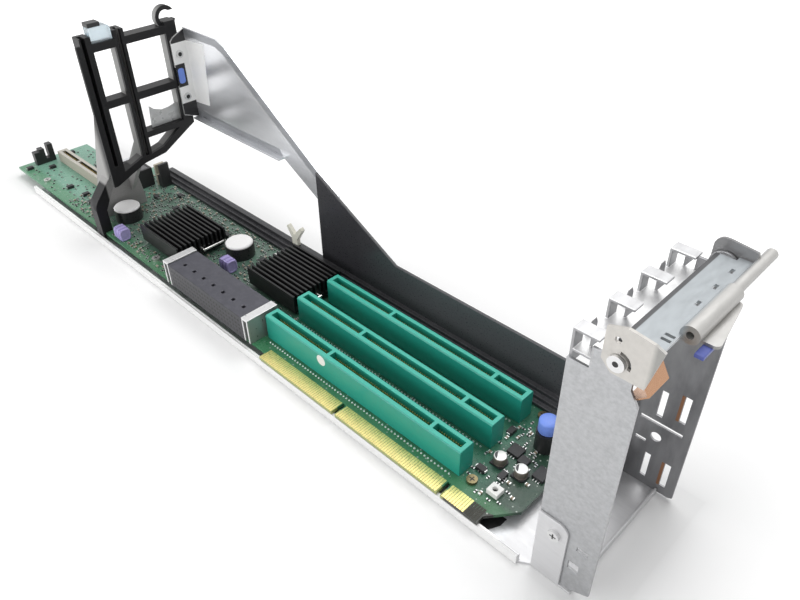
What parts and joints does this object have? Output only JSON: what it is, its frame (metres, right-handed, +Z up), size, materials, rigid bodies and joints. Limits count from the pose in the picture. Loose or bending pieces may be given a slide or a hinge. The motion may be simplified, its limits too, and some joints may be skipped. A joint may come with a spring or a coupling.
{
  "type": "riser card",
  "caption": "Server riser card: a long board on a steel tray with keyed expansion slots, finned heat sinks, a card guide frame with a stay, and a slot bracket with a hinged latch.",
  "frame": {"origin": "under the middle of the card, on the plane of the tray's underside", "axes": "+X along the board towards the slot bracket, +Y from the contact edge to the rear wall, +Z up"},
  "size_m": [0.4881, 0.076, 0.1322],
  "materials": {
    "tray_steel": "galvanised sheet",
    "bracket_steel": "galvanised sheet",
    "stay_steel": "smooth sheet",
    "latch_steel": "plated sheet",
    "screw_steel": "plated",
    "wire_steel": "plated",
    "guide_steel": "plated sheet",
    "board_green": "solder mask",
    "contact_gold": "plated",
    "slot_teal": "satin",
    "connector_grey": "satin",
    "sink_black": "black anodised",
    "chip_black": "matt",
    "can_silver": "satin",
    "sleeve_black": "satin",
    "choke_purple": "satin",
    "frame_black": "satin",
    "touch_blue": "satin",
    "retainer_clear": "clear",
    "socket_ivory": "satin",
    "clip_ivory": "satin",
    "spring_copper": "bare"
  },
  "bodies": {
    "card": {"tray": "tray_steel", "circuit_board": "board_green", "edge_contacts": "contact_gold", "standoffs": "screw_steel", "board_screws": "screw_steel", "tab_screw": "screw_steel", "slot_connector_1": "slot_teal", "slot_connector_2": "slot_teal", "slot_connector_3": "slot_teal", "backplane_connector": "connector_grey", "backplane_guide_left": "guide_steel", "backplane_guide_right": "guide_steel", "controller_1": "chip_black", "controller_2": "chip_black", "heat_sink_1": "sink_black", "heat_sink_2": "sink_black", "heat_sink_clip_1": "wire_steel", "heat_sink_clip_2": "wire_steel", "capacitor_can_1": "can_silver", "capacitor_can_2": "can_silver", "capacitor_sleeve_1": "sleeve_black", "capacitor_sleeve_2": "sleeve_black", "choke_1": "choke_purple", "choke_2": "choke_purple", "power_header": "chip_black", "memory_socket": "socket_ivory", "edge_clip": "frame_black", "rail_clip": "frame_black", "rear_wall": "frame_black", "cable_clip": "clip_ivory", "guide_frame": "frame_black", "card_retainer": "retainer_clear", "retainer_bar": "frame_black", "frame_touch_pad": "touch_blue", "stay": "stay_steel", "stay_screws": "screw_steel", "slot_plate": "bracket_steel", "bracket_front_wall": "bracket_steel", "bracket_rear_wall": "bracket_steel", "latch_pivots": "screw_steel", "ground_spring": "spring_copper", "plunger_collar": "frame_black", "small_capacitors": "can_silver", "small_chips": "chip_black", "jumper_block": "clip_ivory"},
    "latch": {"retention_latch": "latch_steel", "latch_touch_pad": "touch_blue"},
    "plunger": {"plunger_knob": "touch_blue"}
  },
  "joints": [
    {"name": "latch_hinge", "type": "hinge", "parent": "card", "child": "latch", "pos_m": [0.22545, 0, 0.1133], "axis": [0, 1, 0], "range_deg": [-90, 0]},
    {"name": "plunger_slide", "type": "slide", "parent": "card", "child": "plunger", "axis": [0, 0, 1], "range_m": [0, 0.004]}
  ]
}
